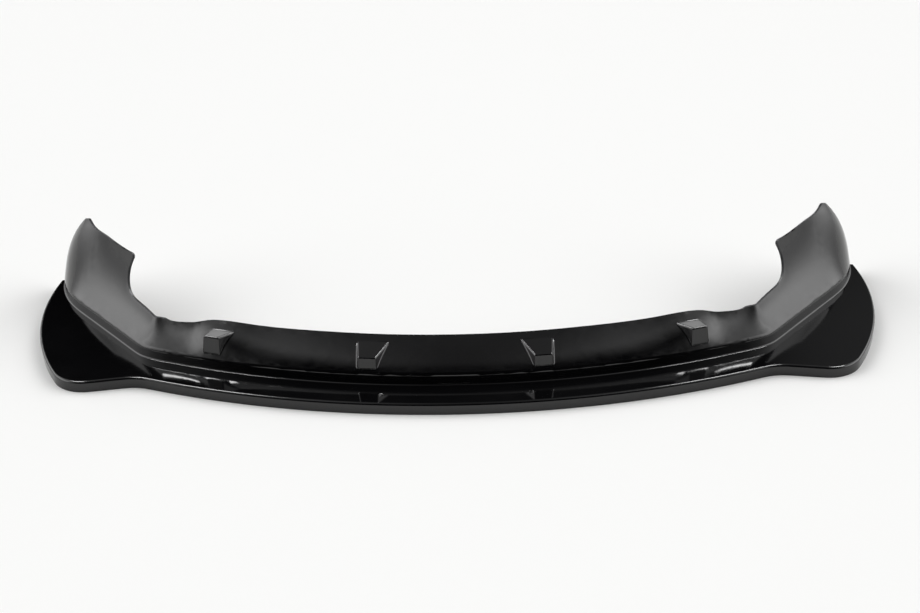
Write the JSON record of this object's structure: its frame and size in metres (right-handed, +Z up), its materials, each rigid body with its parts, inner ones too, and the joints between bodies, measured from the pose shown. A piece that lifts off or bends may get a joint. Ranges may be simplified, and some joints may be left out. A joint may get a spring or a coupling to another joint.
{
  "type": "front splitter lip",
  "caption": "Gloss black front splitter lip formed from sheet: a flat blade with rounded side paddles, a raised fairing with wedge pads, and tall ears that wrap the bumper corners.",
  "frame": {"origin": "middle of the lip in plan, at the height of its lower rim", "axes": "+X across the car to the left-hand headlamp side as the driver sits, -Y out of the front edge, +Z up"},
  "size_m": [1.796, 0.535, 0.1859],
  "materials": {
    "gloss_black_abs": "polished black ABS sheet, high gloss on the visible side, satin grain underneath"
  },
  "bodies": {
    "root": {"splitter_lip": "gloss_black_abs"}
  },
  "joints": []
}
